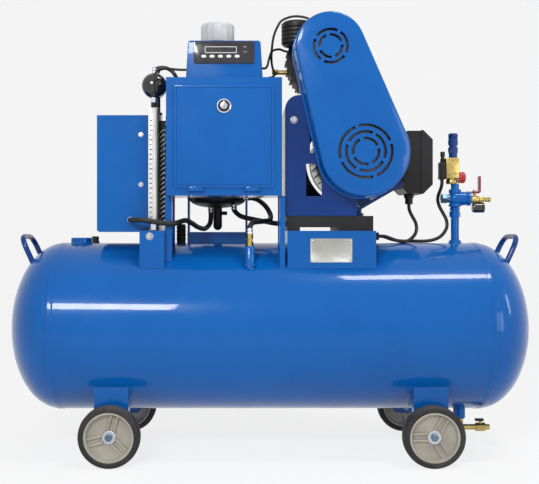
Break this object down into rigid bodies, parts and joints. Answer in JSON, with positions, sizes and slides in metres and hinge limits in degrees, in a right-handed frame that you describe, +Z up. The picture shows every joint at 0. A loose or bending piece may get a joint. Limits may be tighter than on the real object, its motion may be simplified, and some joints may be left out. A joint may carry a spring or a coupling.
{
  "type": "scroll air compressor",
  "caption": "Belt driven scroll air compressor on a horizontal wheeled receiver, with fan duct, separator, control box, belt guard and outlet valve.",
  "frame": {"origin": "on the floor, under the middle of the receiver and midway between the outer tyre faces", "axes": "+X along the receiver towards the outlet valve, -Y towards the operator, +Z up"},
  "size_m": [1.33, 0.4324, 1.1303],
  "materials": {
    "blue_paint": "gloss enamel",
    "dark_blue_paint": "gloss enamel",
    "black_paint": "satin paint",
    "black_casting": "painted casting",
    "bare_aluminium": "milled",
    "black_plastic": "fine grain",
    "tyre_rubber": "matte",
    "hub_plastic": "satin",
    "steel": "zinc plated",
    "black_rubber": "smooth",
    "brass": "machined",
    "red_paint": "dipped vinyl",
    "pale_plastic": "moulded"
  },
  "bodies": {
    "root": {"tank_shell": "blue_paint", "tank_heads": "blue_paint", "tank_fittings": "blue_paint", "wheel_brackets": "blue_paint", "motor_saddle": "blue_paint", "belt_guard": "blue_paint", "control_box": "blue_paint", "display_head": "blue_paint", "support_frame": "blue_paint", "cooling_duct": "blue_paint", "pedestal": "dark_blue_paint", "motor_plate": "dark_blue_paint", "motor_frame": "dark_blue_paint", "guard_back_plate": "dark_blue_paint", "separator_vessel": "dark_blue_paint", "riser_pipe": "dark_blue_paint", "cushion_bridge": "black_paint", "fixed_scroll": "black_casting", "bearing_housing": "black_casting", "radiator_core": "bare_aluminium", "motor_fan_cover": "black_plastic", "terminal_box": "black_plastic", "cable_glands": "black_plastic", "intake_filter": "black_plastic", "display_panel": "black_plastic", "pressure_switch": "black_plastic", "outlet_gauges": "black_plastic", "separator_valve": "black_plastic", "axle_bolts": "steel", "drive_belts": "black_rubber", "hoses": "black_rubber", "motor_cable": "black_rubber", "valve_cable": "black_rubber", "valve_block": "brass", "outlet_valve": "brass", "drain_valve": "brass", "level_gauge": "pale_plastic"},
    "wheel_front_left": {"hub_front_left": "hub_plastic", "tyre_front_left": "tyre_rubber"},
    "wheel_front_right": {"hub_front_right": "hub_plastic", "tyre_front_right": "tyre_rubber"},
    "wheel_rear_left": {"hub_rear_left": "hub_plastic", "tyre_rear_left": "tyre_rubber"},
    "wheel_rear_right": {"hub_rear_right": "hub_plastic", "tyre_rear_right": "tyre_rubber"},
    "door": {"door": "blue_paint"},
    "lock": {"door_lock": "steel"},
    "rotor": {"motor_rotor": "steel"},
    "crank": {"crankshaft": "steel"},
    "orbiter": {"orbiting_scroll": "bare_aluminium"},
    "fan": {"cooling_fan": "black_plastic"},
    "cap": {"separator_cap": "pale_plastic"},
    "relief": {"relief_valve": "blue_paint"},
    "outlet_handle": {"outlet_lever": "red_paint"},
    "drain_handle": {"drain_lever": "black_plastic"},
    "push_1": {"button_1": "pale_plastic"},
    "push_2": {"button_2": "pale_plastic"},
    "push_3": {"button_3": "pale_plastic"},
    "push_4": {"button_4": "pale_plastic"},
    "push_5": {"button_5": "pale_plastic"}
  },
  "joints": [
    {"name": "wheel_front_left_spin", "type": "hinge", "parent": "root", "child": "wheel_front_left", "pos_m": [-0.39, -0.196, 0.075], "axis": [0, 1, 0], "continuous": true},
    {"name": "wheel_rear_left_spin", "type": "hinge", "parent": "root", "child": "wheel_rear_left", "pos_m": [-0.39, 0.196, 0.075], "axis": [0, 1, 0], "continuous": true},
    {"name": "wheel_front_right_spin", "type": "hinge", "parent": "root", "child": "wheel_front_right", "pos_m": [0.39, -0.196, 0.075], "axis": [0, 1, 0], "continuous": true},
    {"name": "wheel_rear_right_spin", "type": "hinge", "parent": "root", "child": "wheel_rear_right", "pos_m": [0.39, 0.196, 0.075], "axis": [0, 1, 0], "continuous": true},
    {"name": "door_hinge", "type": "hinge", "parent": "root", "child": "door", "pos_m": [-0.115, -0.165, 0.669], "axis": [1, 0, 0], "range_deg": [0, 100]},
    {"name": "lock_turn", "type": "hinge", "parent": "door", "child": "lock", "pos_m": [-0.115, -0.165, 0.875], "axis": [0, -1, 0], "range_deg": [0, 90]},
    {"name": "button_1_press", "type": "slide", "parent": "root", "child": "push_1", "axis": [0, 1, 0], "range_m": [0, 0.0015], "stiffness_N_per_m": 200},
    {"name": "button_2_press", "type": "slide", "parent": "root", "child": "push_2", "axis": [0, 1, 0], "range_m": [0, 0.0015], "stiffness_N_per_m": 200},
    {"name": "button_3_press", "type": "slide", "parent": "root", "child": "push_3", "axis": [0, 1, 0], "range_m": [0, 0.0015], "stiffness_N_per_m": 200},
    {"name": "button_4_press", "type": "slide", "parent": "root", "child": "push_4", "axis": [0, 1, 0], "range_m": [0, 0.0015], "stiffness_N_per_m": 200},
    {"name": "button_5_press", "type": "slide", "parent": "root", "child": "push_5", "axis": [0, 1, 0], "range_m": [0, 0.0015], "stiffness_N_per_m": 200},
    {"name": "motor_spin", "type": "hinge", "parent": "root", "child": "rotor", "pos_m": [0.225, 0, 0.76], "axis": [0, 1, 0], "continuous": true},
    {"name": "crank_spin", "type": "hinge", "parent": "root", "child": "crank", "pos_m": [0.141, 0, 1.012], "axis": [0, 1, 0], "continuous": true},
    {"name": "orbit", "type": "hinge", "parent": "crank", "child": "orbiter", "pos_m": [0.1465, 0, 1.012], "axis": [0, 1, 0], "continuous": true},
    {"name": "fan_spin", "type": "hinge", "parent": "root", "child": "fan", "pos_m": [-0.345, -0.01, 0.715], "axis": [1, 0, 0], "continuous": true},
    {"name": "cap_turn", "type": "hinge", "parent": "root", "child": "cap", "pos_m": [-0.137, 0.075, 1.078], "axis": [0, 0, 1], "range_deg": [0, 180]},
    {"name": "relief_pull", "type": "slide", "parent": "root", "child": "relief", "axis": [0, 0, 1], "range_m": [0, 0.002], "stiffness_N_per_m": 500},
    {"name": "outlet_lever_turn", "type": "hinge", "parent": "root", "child": "outlet_handle", "pos_m": [0.541, 0, 0.668], "axis": [0, 0, 1], "range_deg": [0, 90]},
    {"name": "drain_lever_turn", "type": "hinge", "parent": "root", "child": "drain_handle", "pos_m": [0.539, -0.06, 0.083], "axis": [0, 0, 1], "range_deg": [0, 90]}
  ],
  "couplings": [
    {"joint": "crank_spin", "follows": "motor_spin", "ratio": 1.4167},
    {"joint": "orbit", "follows": "motor_spin", "ratio": -1.4167}
  ]
}
